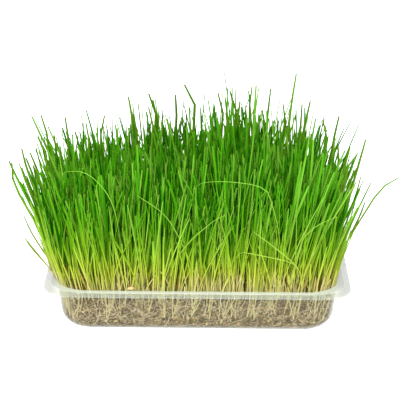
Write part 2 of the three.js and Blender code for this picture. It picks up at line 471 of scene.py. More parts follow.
plasticPaint = {
    "clear": paint(250, 250, 250),
    "slow": 14.0,  # wide and fine unevenness
    "fine": 160.0,
    "veil": 0.012,  # how milky the clear sheet is
    "veilUneven": 0.02,
    "milk": paint(168, 174, 160),
    "paintedGlow": paint(242, 248, 228),  # painted light: a glow that stands in for light spreading inside the cloudy lip, and lifts it where the grass shades it
    "paintedGlowStrength": 0.45,
    "frost": 0.17,  # of the lip, which is stamped cloudy
    "frostSlant": 0.12,  # more of it where it is seen at a slant
    "frostZ": (rimTop - 2.9 * mm, rimTop - 2.4 * mm),
    "crown": 0.26,  # more of it round the mouth
    "crownZ": (rimTop - 1.0 * mm, rimTop - 0.4 * mm),
    "endMilk": paint(142, 144, 139),  # out past the two ends, where the lip is seen against the floor and stands in full light: a darker milk and a dimmer painted glow than at the shaded front
    "endPaintedGlow": paint(180, 182, 178),
    "endFrost": 0.28,
    "endX": (104 * mm, 116 * mm),
    "foot": 0.12,  # of the last few millimetres above the floor
    "footTop": 4 * mm,
    "footShadowLine": 0.6,  # painted shadow: a dark line along the bend seen along itself, just above the floor
    "footShadowLineTop": 1.3 * mm,
    "edge": paint(104, 106, 82),  # painted shade and reflection: the darker grey of the sheet seen along itself
    "edgeShadeShare": 0.8,
    "edgePower": 5.0,
    "shine": 0.22,
    "shineLeast": 0.005,
    "roughness": (0.12, 0.08),
    "gloss": 0.25,
    "relief": 1.5 * mm,
}


def plasticMaterial():
    look = Look("clearPlastic")
    form = plasticPaint
    slow = look.noise(form["slow"], 2.0)
    fine = look.noise(form["fine"], 2.0)
    place = look.split(look.place())
    height = place["Z"]
    facing = look.node("ShaderNodeLayerWeight", {}, {"Blend": 0.5})["Facing"]
    slanted = facing ** form["edgePower"]
    lip = height.rise(*form["frostZ"])
    crown = height.rise(*form["crownZ"]) * form["crown"]
    ends = place["X"].size().rise(*form["endX"])
    foot = (1.0 - height / form["footTop"]).held() * form["foot"]
    footShadowLine = (1.0 - height / form["footShadowLineTop"]).held() * form["footShadowLine"]
    frost = form["frost"] + ends * form["endFrost"] + facing * form["frostSlant"]
    veil = form["veil"] + lip * frost + crown + foot + (slow - 0.5) * form["veilUneven"]
    uneven = look.bump(slow + fine * 0.04, form["relief"], 0.3)
    even, varied = form["roughness"]
    rough = even + fine * varied
    clear = look.node("ShaderNodeBsdfTransparent", {}, {"Color": form["clear"]})["BSDF"]
    milky = look.shader({
        "Base Color": look.blend(ends, form["milk"], form["endMilk"]),
        "Roughness": rough,
        "Specular IOR Level": form["gloss"],
        # painted light: the milky lip glows
        "Emission Color": look.blend(ends, form["paintedGlow"], form["endPaintedGlow"]),
        "Emission Strength": form["paintedGlowStrength"],
        "Normal": uneven,
    })
    shine = look.shader({
        "Base Color": paint(255, 255, 255),
        "Metallic": 1.0,
        "Roughness": rough,
        "Normal": uneven,
    })
    # painted shade: a darker grey where the sheet is seen along itself and along its foot
    paintedEdgeShade = look.shader({
        "Base Color": look.blend(slow, form["edge"], form["endMilk"]),
        "Roughness": rough,
    })
    along = slanted * form["edgeShadeShare"] * (1.0 - lip * 0.7) + footShadowLine
    mixed = look.layered(along.held(), clear, paintedEdgeShade)
    mixed = look.layered(veil.held(), mixed, milky)
    mixed = look.layered(form["shineLeast"] + form["shine"] * slanted, mixed, shine)
    return look.surface(mixed)


trayForm = {
    "rimCorner": 24 * mm,
    "mouthCorner": 28 * mm,
    "rimWidth": 10.4 * mm,
    "lipDrop": 1.7 * mm,
    "lipRound": 0.9 * mm,
    "stepInset": 5.2 * mm,
    "stepRun": 0.9 * mm,
    "stepHeight": 1.2 * mm,
    "fall": 0.2 * mm,  # of the two flat parts, outwards
    "mouthRound": 1.6 * mm,
    "draft": 3 * mm,
    "floorRound": 12 * mm,
    "wall": 0.6 * mm,
    "cornerSegments": 14,
    "lipSegments": 4,
    "stepSegments": 5,
    "mouthSegments": 5,
    "floorSegments": 9,
}


def arc(centreX, centreZ, radius, start, end, steps):
    # points of an arc in the section, angles in degrees
    turns = [math.radians(start + (end - start) * i / steps) for i in range(steps + 1)]
    return [(centreX + radius * math.cos(a), centreZ + radius * math.sin(a)) for a in turns]


def rimSection():
    form = trayForm
    land = rimTop - form["stepHeight"]
    fall, lipRound, mouthRound = form["fall"], form["lipRound"], form["mouthRound"]
    section = [(0.0, land - form["lipDrop"])]
    section += arc(lipRound, land - fall - lipRound, lipRound, 180, 90, form["lipSegments"])
    for i in range(form["stepSegments"] + 1):  # the step is an S
        share = i / form["stepSegments"]
        rise = share * share * (3 - 2 * share)
        height = land + (form["stepHeight"] - fall) * rise
        section.append((form["stepInset"] + (share - 0.5) * form["stepRun"], height))
    centre = (form["rimWidth"] - mouthRound, rimTop - mouthRound)
    return section + arc(*centre, mouthRound, 90, 0, form["mouthSegments"])


def bowlSection():
    form = trayForm
    topX, topZ = form["rimWidth"], rimTop - form["mouthRound"]
    centre = (form["rimWidth"] + form["draft"] + form["floorRound"], form["wall"] + form["floorRound"])
    bend = arc(*centre, form["floorRound"], 180, 270, form["floorSegments"])
    footX, footZ = bend[0]
    return [(topX + (footX - topX) * i / 3, topZ + (footZ - topZ) * i / 3) for i in (1, 2)] + bend


def cornerRadius(inset):
    form = trayForm
    across = min(max(inset / form["rimWidth"], 0), 1)
    radius = form["rimCorner"] + (form["mouthCorner"] - form["rimCorner"]) * across
    return radius - max(inset - form["rimWidth"], 0)


def addOutline(inset, z):
    # a rounded rectangle: a plane with its corners bevelled
    halfLength, halfWidth = trayHigh.x - inset, trayHigh.y - inset
    bpy.ops.mesh.select_all(action="DESELECT")
    bpy.ops.mesh.primitive_plane_add(size=2, location=(0, 0, z))
    bpy.ops.transform.resize(value=(halfLength, halfWidth, 1), center_override=(0, 0, z))
    bpy.ops.mesh.bevel(offset=cornerRadius(inset), offset_type="OFFSET", affect="VERTICES",
                       segments=trayForm["cornerSegments"], profile=0.5)


def outlinesJoined(name, section, keepFirstFace):
    # bridges the section's outlines in order, and keeps the last one's face as the floor
    noneSelected()
    bpy.ops.mesh.primitive_plane_add(size=1, location=(0, 0, 0), enter_editmode=True)
    piece = bpy.context.object
    piece.name = name
    bpy.ops.mesh.delete(type="VERT")
    for i, (inset, z) in enumerate(section):
        addOutline(inset, z)
        if i < len(section) - 1 and not (i == 0 and keepFirstFace):
            bpy.ops.mesh.delete(type="ONLY_FACE")
    perOutline = len(bmesh.from_edit_mesh(piece.data).verts) // len(section)

    def ofOutlines(edge, wanted):
        # whether both ends are on one outline, and it is a wanted one
        first, second = (v.index // perOutline for v in edge.verts)
        return first == second and first in wanted

    for i in range(len(section) - 1):
        selectWhere(piece, "edges", lambda edge: ofOutlines(edge, (i, i + 1)))
        bpy.ops.mesh.bridge_edge_loops()
    bpy.ops.mesh.select_all(action="SELECT")
    bpy.ops.mesh.normals_make_consistent(inside=False)
    floor = min(bmesh.from_edit_mesh(piece.data).faces, key=lambda f: f.calc_center_median().z)
    if (floor.normal.z < 0) != keepFirstFace:
        bpy.ops.mesh.flip_normals()
    bpy.ops.object.mode_set(mode="OBJECT")
    return piece


def makeTray(material):
    tray = outlinesJoined("traySheet", rimSection() + bowlSection(), False)
    applied(tray, "SOLIDIFY", thickness=trayForm["wall"], offset=-1.0, use_even_offset=True)
    smooth(tray, 40)
    finishPiece(tray, material, "clear_plastic", "tray")
    print("tray:", len(tray.data.polygons), "faces")


mediumForm = {
    "clearance": 1.0 * mm,  # from the bowl's wall to the middle of the lumps
    "shoulder": 0.6 * mm,  # of the top's edge
    "voxel": 1.6 * mm,
    "lumpSize": 4 * mm,
    "lumpHeight": 1.3 * mm,
    "grainSize": 2 * mm,
    "grainHeight": 0.9 * mm,
    "chips": 4600,
    "chipSize": (0.5 * mm, 1.3 * mm),
    "chipScales": [(1.0, 0.7, 0.4), (1.0, 1.0, 0.8), (1.5, 0.5, 0.3)],  # three kinds of crumb
    "chipClearance": 0.45 * mm,
    "topShare": 0.2,
    "topMargin": 4 * mm,  # from the wall
    "topLift": (-0.5, 0.8),  # over the top, in millimetres
    "floorShare": 0.14,
    "floorMargin": 26 * mm,  # from the lip
}


def bowlInset(z):
    # how far the bowl's inner face lies from the lip at a height
    section = sorted((height, inset) for inset, height in bowlSection() + [(trayForm["rimWidth"], rimTop)])
    return float(np.interp(z, *zip(*section)))


def wallSpot(turn, z, clearance):
    # a point near the bowl's inner face, and the way out of it; turn runs from 0 to 1 round the tray
    inset = bowlInset(z)
    radius = cornerRadius(inset)
    straightX = trayHigh.x - inset - radius
    straightY = trayHigh.y - inset - radius
    sides = [2 * straightX, radius * math.pi / 2, 2 * straightY, radius * math.pi / 2] * 2
    along = (turn % 1.0) * sum(sides)
    heading = 0.0
    place = Vector((-straightX, -straightY - radius))
    for i, length in enumerate(sides):
        step = min(along, length)
        if i % 2 == 0:
            place += step * Vector((math.cos(heading), math.sin(heading)))
        else:
            centre = place + radius * Vector((-math.sin(heading), math.cos(heading)))
            heading += step / radius
            place = centre + radius * Vector((math.sin(heading), -math.cos(heading)))
        along -= step
        if along <= 0:
            break
    out = Vector((math.sin(heading), -math.cos(heading)))
    place -= out * clearance
    return Vector((place.x, place.y, z)), Vector((out.x, out.y, 0))


def anySpot(margin):
    # a random x and y, at least this far in from the lip's four sides
    return between(-1, 1) * (trayHigh.x - margin), between(-1, 1) * (trayHigh.y - margin)


def makeMedium(material):
    form = mediumForm
    inward = form["clearance"]
    section = [(bowlInset(soilTop) + inward * 2, soilTop)]
    for z in (soilTop - form["shoulder"], soilTop * 0.75, soilTop * 0.55):
        section.append((bowlInset(z) + inward, z))
    bend = [(inset + inward * 0.8, z + inward * 0.4) for inset, z in bowlSection()[2:]]
    section += [place for place in bend if place[1] < soilTop * 0.5]
    medium = outlinesJoined("growingMedium", section, True)
    applied(medium, "REMESH", mode="VOXEL", voxel_size=form["voxel"])
    lumps = bpy.data.textures.new("lumps", "CLOUDS")
    lumps.noise_scale = form["lumpSize"]
    grains = bpy.data.textures.new("grains", "VORONOI")
    grains.noise_scale = form["grainSize"]
    applied(medium, "DISPLACE", texture=lumps, strength=form["lumpHeight"], mid_level=0.5)
    applied(medium, "DISPLACE", texture=grains, strength=form["grainHeight"], mid_level=0.5)
    smooth(medium, 60)
    finishPiece(medium, material, "growing_medium", "soil")
    print("growing medium:", len(medium.data.polygons), "faces")


def chipTemplates():
    # irregular crumbs
    templates = []
    for number, scale in enumerate(mediumForm["chipScales"]):
        noneSelected()
        bpy.ops.mesh.primitive_ico_sphere_add(subdivisions=1, radius=1, enter_editmode=True)
        bpy.ops.transform.resize(value=scale, center_override=(0, 0, 0))
        bpy.ops.transform.vertex_random(offset=0.28, uniform=0.5, normal=0.3, seed=number + 3)
        bpy.ops.object.mode_set(mode="OBJECT")
        templates.append(bpy.context.object)
    return templates


def turned(points, size, rotation, place):
    return points * size @ np.array(rotation.to_matrix()).T + np.array(place)


def randomTurn():
    return Quaternion([chance.gauss(0, 1) for _ in range(4)]).normalized()


def makeChips(material):
    form = mediumForm
    templates = chipTemplates()
    shapes = [coordinates(t.data) for t in templates]
    topMargin = bowlInset(soilTop) + form["topMargin"]
    chips = []
    for _ in range(form["chips"]):
        kind = chance.randrange(len(templates))
        size = between(*form["chipSize"])
        share = chance.random()
        if share < form["topShare"]:
            place = Vector((*anySpot(topMargin), soilTop + between(*form["topLift"]) * mm))
        elif share < form["topShare"] + form["floorShare"]:
            place = Vector((*anySpot(form["floorMargin"]), trayForm["wall"] + size * 1.3))
        else:
            z = between(1.1 * mm + size * 1.5, soilTop)
            place, _ = wallSpot(chance.random(), z, size * 0.7 + form["chipClearance"])
        points = turned(shapes[kind], size, randomTurn(), place)
        chips.append(copyPlaced(templates[kind], points, tone=chance.random()))
    for template in templates:
        bpy.data.objects.remove(template)
    finishJoined("mediumChips", chips, material, "growing_medium")


turfForm = {
    "pitchX": 24.5 * mm,
    "pitchY": 23.6 * mm,
    "blades": 150,  # in each bunch
    "margin": 1.2 * mm,  # from the bowl's wall
    "unevenness": 4 * mm,  # from bunch to bunch
    "clump": 0.26,  # how much taller or shorter a small group stands
    "clumpX": 7 * mm,
    "clumpY": 18 * mm,
    "height": 109 * mm,
    "tall": (0.67, 1.04),
    "short": (0.4, 0.8),
    "long": (1.06, 1.2),
    "shortShare": 0.38,
    "longShare": 0.05,
    "width": (1.3 * mm, 2.3 * mm),
    "tone": (0, 0.88),
    "thinShare": 0.35,
    "thinWidth": (0.7 * mm, 1.1 * mm),
    "thinTone": (0.5, 1),
    "thinMost": 0.96,  # of the turf's height
    "bareLeft": (0.88, 0.3),  # how far out the turf thins, and the share of the blades left out there
    "bareRight": (0.8, 0.6),
    "bareBack": (0.7, 0.4),
    "rooted": 3 * mm,
    "strayX": 12.5 * mm,  # how far a tip wanders from its own upright
    "strayY": 8 * mm,
    "innerX": 40 * mm,  # the most that it wanders in the middle of the turf
    "innerY": 30 * mm,
    "outwardX": 6 * mm,  # and out past the turf's own lean at its edge
    "outwardY": 4 * mm,
    "furthestY": (-96 * mm, 98 * mm),  # no tip passes these
    "unruly": 0.08,  # share of the blades that lean across the others
    "unrulyStray": 1.6,
    "evenStray": 0.85,
    "bend": (1.0, 2.0),
    "twist": 1.6,
    "skin": 13 * mm,  # how far in from the sides, and down from the top, daylight reaches
    "crown": 42 * mm,
    "crownTop": 0.9,  # of the turf's height
}
leanForm = {
    "left": 25 * mm, "right": 15 * mm, "front": 15 * mm, "back": 16 * mm,
    "rise": 120 * mm, "whole": 100 * mm, "power": 2.5, "halfX": 107 * mm, "halfY": 68 * mm,
    "curveRight": 1.6,  # the right end stands up straighter at its foot
}
swayForm = {"reachX": 6 * mm, "reachY": 4 * mm, "rise": 100 * mm, "waveX": 17 * mm, "waveY": 14 * mm}
endDrop = {"most": 24 * mm, "power": 4}  # how much lower the turf is at its two ends
# how far the turf's top stands above or below its even height, along X, in millimetres
swell = [
    (-107, 0), (-92, -7), (-84, -11), (-76, -11), (-55, -11), (-38, -9), (-24, -6), (-9, -1),
    (9, -12), (22, 1), (38, 2), (52, -4), (70, 0), (84, 3), (95, -4), (107, -10),
]
bladeForm = {
    "rings": 8,
    "fineRings": 26,  # on the few that arch over
    "thickness": 0.2,  # of its width
    "fold": 0.4,
    "widths": [0.52, 0.54, 0.62, 0.76, 0.92, 1.0, 0.98, 0.88, 0.6],
}


def unitTube(name, steps):
    # a four-sided tube one unit long and one wide, cut into steps, in edit mode
    noneSelected()
    bpy.ops.mesh.primitive_cylinder_add(vertices=4, radius=0.5, depth=1, location=(0, 0, 0.5))
    piece = bpy.context.object
    piece.name = name
    bpy.ops.object.transform_apply(location=True, rotation=True, scale=True)
    bpy.ops.object.mode_set(mode="EDIT")
    selectWhere(piece, "edges", lambda edge: abs(edge.verts[0].co.z - edge.verts[1].co.z) > 0.5)
    bpy.ops.mesh.subdivide(number_cuts=steps - 1)
    return piece


def bladeTemplate(rings):
    # a folded strip one unit tall and one wide: a tube flattened, folded along its middle and tapered
    form = bladeForm
    widths = np.interp(np.linspace(0, 1, rings + 1), np.linspace(0, 1, len(form["widths"])), form["widths"])
    piece = unitTube("bladeTemplate", rings)
    bpy.ops.mesh.select_all(action="SELECT")
    bpy.ops.transform.resize(value=(1, form["thickness"], 1), center_override=(0, 0, 0))
    selectWhere(piece, "verts", lambda vertex: abs(vertex.co.x) < 0.1)
    bpy.ops.transform.translate(value=(0, -form["fold"], 0))
    for ring, width in enumerate(widths):
        z = ring / rings
        selectWhere(piece, "verts", lambda vertex: abs(vertex.co.z - z) < 0.01)
        bpy.ops.transform.resize(value=(width, width, 1), center_override=(0, 0, z))
    bpy.ops.mesh.select_all(action="SELECT")
    bpy.ops.mesh.normals_make_consistent(inside=False)
    bpy.ops.object.mode_set(mode="OBJECT")
    mapFlat(piece.data)
    smooth(piece, 35)
    return piece


def mapFlat(mesh):
    # the map's X runs across a blade and its Y from root to tip
    points = coordinates(mesh)
    corners = np.empty(len(mesh.loops), int)
    mesh.loops.foreach_get("vertex_index", corners)
    widths = np.interp(points[:, 2], np.linspace(0, 1, len(bladeForm["widths"])), bladeForm["widths"])
    across = points[:, 0] / widths + 0.5
    flat = np.stack([across[corners], points[corners, 2]], 1)
    mesh.uv_layers[0].data.foreach_set("uv", flat.astype(np.float32).ravel())


def grown(x, y, z):
    # where a place in the upright turf lies once the turf has swayed and leaned out, at each height z
    risen = np.maximum(z - soilTop, 0) / swayForm["rise"]
    x = x + swayForm["reachX"] * risen * np.sin(y / swayForm["waveY"])
    y = y + swayForm["reachY"] * risen * np.sin(x / swayForm["waveX"])
    share = 1 - np.exp(-np.maximum(z - soilTop, 0) / leanForm["rise"])
    share = share / (1 - math.exp(-leanForm["whole"] / leanForm["rise"]))
    share = share ** np.where(x > 0, leanForm["curveRight"], 1.0)
    reachX = np.where(x < 0, leanForm["left"], leanForm["right"])
    reachY = np.where(y < 0, leanForm["front"], leanForm["back"])
    outX = np.sign(x) * reachX * np.abs(x / leanForm["halfX"]) ** leanForm["power"]
    outY = np.sign(y) * reachY * np.abs(y / leanForm["halfY"]) ** leanForm["power"]
    return np.stack([x + outX * share, y + outY * share, z], -1)


def bladePoints(shape, path, width, facing, twist):
    # bends the template along a path that takes 0 to 1 and gives points
    t = shape[:, 2]
    centre = path(t)
    forward = path(t + 0.01) - path(t - 0.01)
    forward /= np.linalg.norm(forward, axis=1, keepdims=True)
    angle = facing + twist * t
    side = np.stack([np.cos(angle), np.sin(angle), np.full_like(t, 0.03)], 1)
    side -= forward * np.sum(side * forward, 1, keepdims=True)
    side /= np.linalg.norm(side, axis=1, keepdims=True)
    front = np.cross(forward, side)
    return centre + side * shape[:, :1] * width + front * shape[:, 1:2] * width


def turfPath(x, y, height, strayX, strayY, bend):
    # a blade's course from 0 at its root to 1 at its tip
    base = soilTop - turfForm["rooted"]
    tip = soilTop + height

    def path(t):
        z = base + (tip - base) * t
        place = grown(np.full_like(t, x), np.full_like(t, y), z)
        strayed = np.sign(t) * np.abs(t) ** bend
        place[:, 0] += strayX * strayed
        place[:, 1] += strayY * strayed
        return place

    return path


def insideBowl(x, y, margin):
    inset = bowlInset(soilTop) + margin
    halfLength, halfWidth, radius = trayHigh.x - inset, trayHigh.y - inset, cornerRadius(inset)
    overX = max(abs(x) - (halfLength - radius), 0)
    overY = max(abs(y) - (halfWidth - radius), 0)
    return math.hypot(overX, overY) < radius


def turfHeight(x):
    rise = float(np.interp(x / mm, *zip(*swell))) * mm
    drop = endDrop["most"] * min(abs(x / leanForm["halfX"]), 1) ** endDrop["power"]
    return turfForm["height"] + rise - drop


def bladeShare():
    # a blade's height as a share of the turf's: most are tall, some short and a few long
    form = turfForm
    pick = chance.random()
    if pick < form["shortShare"]:
        return between(*form["short"])
    return between(*form["long"]) if pick > 1 - form["longShare"] else between(*form["tall"])


def footCentre(node):
    # the middle of a bunch's root plug, from the lowest corners of its solid
    points = coordinates(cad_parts[node].data)
    foot = points[points[:, 2] < points[:, 2].min() + 0.1 * mm]
    return (foot.min(0) + foot.max(0)) / 2


def wander(x, y):
    # a blade's own drift at its tip, held in where it would leave the turf's outline
    form = turfForm
    unruly = form["unrulyStray"] if chance.random() < form["unruly"] else form["evenStray"]
    driftX = form["strayX"] * chance.gauss(0, 1) * unruly
    driftY = form["strayY"] * chance.gauss(0, 1)
    edgeX = min(abs(x) / leanForm["halfX"], 1) ** 3
    edgeY = min(abs(y) / leanForm["halfY"], 1) ** 3
    mostX = form["outwardX"] * edgeX + form["innerX"] * (1 - edgeX)
    mostY = form["outwardY"] * edgeY + form["innerY"] * (1 - edgeY)
    driftX = min(driftX, mostX) if x > 0 else max(driftX, -mostX)
    driftY = min(driftY, mostY) if y > 0 else max(driftY, -mostY)
    return driftX, driftY


def heldIn(driftY, x, y, height):
    # less drift where the tip would end too far in front or behind
    tip = grown(x, y, soilTop + height)[1]
    low, high = turfForm["furthestY"]
    return min(max(driftY, low - tip), high - tip)


def depthOf(x, y, z):
    # 0 on the outside and the top of the turf, 1 well inside it: how much painted shade a blade takes, and
    # how little painted light
    form = turfForm
    inward = min(leanForm["halfX"] - abs(x), leanForm["halfY"] - abs(y)) / form["skin"]
    below = (soilTop + turfHeight(x) * form["crownTop"] - z) / form["crown"]
    return min(max(inward, 0), 1) * np.clip(below, 0, 1)


def bareShare(x, y):
    # the share of the blades left out near the turf's two ends and its back
    form = turfForm
    endStart, endBare = form["bareLeft" if x < 0 else "bareRight"]
    backStart, backBare = form["bareBack"]
    atEnd = endBare if abs(x) > leanForm["halfX"] * endStart else 0.0
    atBack = backBare if y > leanForm["halfY"] * backStart else 0.0
    return max(atEnd, atBack)


def makeBunch(template, shape, node, material):
    form = turfForm
    centre = footCentre(node)
    uneven = between(-1, 1) * form["unevenness"]
    blades = []
    while len(blades) < form["blades"]:
        x = centre[0] + between(-0.5, 0.5) * form["pitchX"]
        y = centre[1] + between(-0.5, 0.5) * form["pitchY"]
        if not insideBowl(x, y, form["margin"]) or chance.random() < bareShare(x, y):
            continue
        thin = chance.random() < form["thinShare"]
        width = between(*form["thinWidth" if thin else "width"])
        tone = between(*form["thinTone" if thin else "tone"])
        clump = noise.noise(Vector((x / form["clumpX"], y / form["clumpY"], 0)))
        share = bladeShare() * (1 + form["clump"] * clump)
        share = min(share, form["thinMost"]) if thin else share
        height = (turfHeight(x) + uneven) * share
        driftX, driftY = wander(x, y)
        driftY = heldIn(driftY * share, x, y, height)
        path = turfPath(x, y, height, driftX * share, driftY, between(*form["bend"]))
        twist = form["twist"] * chance.gauss(0, 0.5)
        points = bladePoints(shape, path, width, anyAngle(), twist)
        depth = depthOf(x, y, points[:, 2])
        blades.append(copyPlaced(template, points, tone=tone, dryness=0.0, depth=depth))
    finishJoined("grassBunch" + node[len("grass_bunch"):], blades, material, "grass", node)


def makeTurf(template, material):
    shape = coordinates(template.data)
    nodes = sorted(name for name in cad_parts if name.startswith("grass_bunch"))
    for node in nodes:
        makeBunch(template, shape, node, material)
    print("turf:", len(nodes), "bunches")


# shoots along the clear wall, rooted lower than the rest
edgeForm = {
    "seeds": 190,  # each sends up a few shoots that fan out
    "stagger": 1.6,
    "shoots": (1, 5),
    "clearance": 0.6 * mm,
    "lowest": 6 * mm,
    "fan": 0.007,  # of the way round
    "height": (0.2, 1.0),  # of the turf's
    "width": (0.6 * mm, 1.5 * mm),
    "slanting": 0.36,  # share of the shoots that cross the others
    "slant": 21 * mm,
    "slantMost": 1.7,
    "stemRings": 5,
    "leafRings": 12,
    "bend": 1.4,
    "twist": (-1, 1),
    "tone": (0.3, 1),
}


def pointPath(points):
    # a path from 0 to 1 through sampled points
    places = np.array([tuple(p) for p in points])
    along = np.concatenate([[0], np.cumsum(np.linalg.norm(np.diff(places, axis=0), axis=1))])
    along /= along[-1]

    def path(t):
        ends = np.clip(t, 0, 1)
        found = np.stack([np.interp(ends, along, places[:, i]) for i in range(3)], 1)
        ahead = (t - ends)[:, None]
        first, last = places[1] - places[0], places[-1] - places[-2]
        first, last = first / np.linalg.norm(first), last / np.linalg.norm(last)
        return found + np.minimum(ahead, 0) * first + np.maximum(ahead, 0) * last

    return path


def edgeShootPoints(footTurn, foot, topTurn, height):
    form = edgeForm
    top, out = wallSpot(topTurn, soilTop, form["clearance"])
    drift = Vector((*wander(top.x, top.y), 0)) * height / turfForm["height"]
    if chance.random() < form["slanting"]:
        slant = min(max(chance.gauss(0, 1), -form["slantMost"]), form["slantMost"])
        slant = slant * form["slant"] * height / turfForm["height"]
        straight = 1 - abs(2 * out.x * out.y)  # 0 in a corner, where it would lean out past the rest
        drift += Vector((-out.y, out.x, 0)) * slant * straight
    drift.y = heldIn(drift.y, top.x, top.y, height)
    points = []
    for i in range(form["stemRings"]):
        share = i / form["stemRings"]
        turn = footTurn + (topTurn - footTurn) * share
        points.append(wallSpot(turn, foot + (soilTop - foot) * share, form["clearance"])[0])
    for i in range(form["leafRings"] + 1):
        share = i / form["leafRings"]
        points.append(Vector(grown(top.x, top.y, soilTop + height * share)) + drift * share ** form["bend"])
    return points


def makeEdgeShoots(template, material):
    form = edgeForm
    shape = coordinates(template.data)
    shoots = []
    for number in range(form["seeds"]):
        footTurn = (number + form["stagger"] * chance.random()) / form["seeds"]
        foot = between(form["lowest"], soilTop - 1 * mm)
        for _ in range(chance.randint(*form["shoots"])):
            topTurn = footTurn + form["fan"] * chance.gauss(0, 1) * (soilTop + 6 * mm - foot) / soilTop
            top, _ = wallSpot(topTurn, soilTop, form["clearance"])
            height = turfHeight(top.x) * between(*form["height"])
            path = pointPath(edgeShootPoints(footTurn, foot, topTurn, height))
            points = bladePoints(shape, path, between(*form["width"]), anyAngle(), between(*form["twist"]))
            shoots.append(copyPlaced(template, points, tone=between(*form["tone"]), dryness=0.0))
    finishJoined("edgeShoots", shoots, material, "grass")


longForm = {
    "width": (2.0, 2.6),  # in millimetres
    "lowWidth": (1.3, 1.7),
    "low": 118,  # a blade whose tip ends lower takes the low width
    "turn": (-0.2, 0.2),
    "twist": (-0.3, 0.3),
    "tone": (0.25, 0.5),
    "dryness": 0.25,
    "rings": 10,
    "tipRings": 4,
    "margin": 1.4 * mm,  # from the bowl's wall
}
# long blades: the tip, and a place lower down that the blade passes, in millimetres
longBlades = [
    ((-41.4, 20, 171.8), (-35.4, 20, 149.3)), ((-19.7, 30, 168.2), (-18.8, 30, 148.2)),
    ((-12.3, 20, 179.6), (-3.5, 20, 158.1)), ((15.2, 30, 169.9), (19.5, 30, 152)),
    ((25.2, 40, 169.1), (30.4, 40, 147.5)), ((58.1, 20, 177), (56.2, 20, 157)),
    ((78, 10, 192.2), (75.1, 10, 170.1)), ((89.9, 10, 169.4), (86.2, 10, 149.1)),
    ((83.3, 10, 166.8), (82.5, 10, 148)), ((112.8, 0, 159.9), (109.4, 0, 141.4)),
    ((134.1, -10, 143.6), (128.1, -10, 117.6)), ((139.5, -15, 109.1), (131.2, -15, 89.4)),
    ((161, -20, 114.9), (142.3, -20, 98.1)), ((-143.9, 0, 130), (-139.2, 0, 109.9)),
    ((-153.3, -10, 122.4), (-143.4, -10, 99.5)), ((-149.7, -20, 124), (-145.9, -20, 100.3)),
    ((-138.9, -40, 86), (-129.8, -40, 65.7)), ((-136.7, -50, 70.2), (-131.3, -50, 62.6)),
    ((-129.6, 20, 152.6), (-124.3, 20, 129.6)), ((-109.9, 20, 151.1), (-107.8, 20, 135.7)),
    ((-77.5, 20, 152.5), (-80.6, 20, 140.3)), ((-54.3, 20, 154), (-51, 20, 140)),
    ((-136.6, -5, 128.2), (-130.9, -5, 111.9)), ((-131.8, 10, 137.1), (-125.4, 10, 123.2)),
    ((-117.8, 5, 140.2), (-116.6, 5, 129.1)), ((-101.5, 15, 140.1), (-97.7, 15, 126.2)),
    ((-93.3, 25, 145.1), (-90.9, 25, 133.5)), ((-141.4, -25, 121.9), (-131.5, -25, 91.9)),
    ((-138, -45, 69.2), (-131.9, -45, 59.4)), ((-139.2, -12, 125.7), (-133.9, -12, 110.5)),
    ((-132.8, -20, 122.4), (-126.9, -20, 103)), ((-125.6, 0, 137.4), (-121, 0, 122.1)),
    ((100.3, 5, 155), (103.8, 5, 136.6)), ((110, 0, 145.6), (109.6, 0, 134.6)),
    ((112.4, -5, 136.3), (113.6, -5, 124.3)), ((122.6, 0, 134.1), (119.1, 0, 118.5)),
    ((128.8, -5, 130.4), (120.1, -5, 114.4)), ((125.2, -15, 119.2), (121, -15, 102.1)),
    ((130.4, -20, 115.2), (125, -20, 92.8)), ((133.6, -30, 97.2), (127.1, -30, 78.4)),
    ((20.9, 20, 169.3), (23.5, 20, 156.7)), ((33.4, 30, 163.3), (32, 30, 148.7)),
    ((74.7, 15, 160.3), (73.4, 15, 146.7)), ((-41.5, 20, 160.3), (-37.8, 20, 145.8)),
    ((-38, 25, 164.8), (-34.7, 25, 149.5)), ((51.6, 30, 155.8), (55.1, 30, 143.8)),
    ((69, 35, 159.6), (71.8, 35, 145.9)), ((44, 66, 166), (42, 62, 146)), ((-60, 60, 158), (-57, 58, 140)),
]
archForm = {
    "width": (0.65, 0.9),
    "lowWidth": 0.55,
    "low": 60,
    "turn": (-0.3, 0.3),
    "twist": 0.4,
    "tone": 0.95,
    "steps": 8,  # between two points
}
# whole courses of thin blades that arch over the front, from root to tip, in millimetres
archingBlades = [
    ((66, -64, 27), (64, -80, 80), (57, -92, 115), (49, -93, 129.5),
     (20.7, -92, 133.7), (-0.6, -92, 131), (-3.6, -92, 122)),
    ((-55, -62, 27), (-60, -76, 80), (-67, -91, 119), (-84.3, -92, 139), (-102, -92, 140), (-104, -91, 137)),
    ((86, -62, 27), (80, -80, 56), (71.8, -88, 67), (50, -90, 73), (34.6, -90, 75.5), (29.9, -89, 70.5)),
    ((82, -64, 27), (78, -80, 58), (71.8, -88, 69.1), (58, -89, 81), (42.7, -90, 93)),
    ((72, -60, 27), (80, -80, 78), (88, -89, 94.5), (97.8, -90, 101.5), (107, -90, 105.5)),
    ((-98, -58, 27), (-107, -62, 44), (-117.2, -61, 47), (-123.5, -60, 48.6), (-132.2, -60, 50.2)),
    ((5, -66, 27), (-8, -82, 70), (-24, -90, 104), (-46, -92, 122)),
    ((-30, -66, 27), (-12, -84, 74), (10, -92, 100), (22, -94, 108)),
]


def smoothed(points, steps):
    # a rounded course through a few points (Catmull-Rom)
    places = [Vector(p) for p in points]
    places = [places[0] * 2 - places[1]] + places + [places[-1] * 2 - places[-2]]
    course = []
    for a, b, c, d in zip(places, places[1:], places[2:], places[3:]):
        for i in range(steps):
            t = i / steps
            course.append(0.5 * (2 * b + (c - a) * t + (2 * a - 5 * b + 4 * c - d) * t * t
                                 + (3 * b - a - 3 * c + d) * t ** 3))
    course.append(places[-2])
    return course


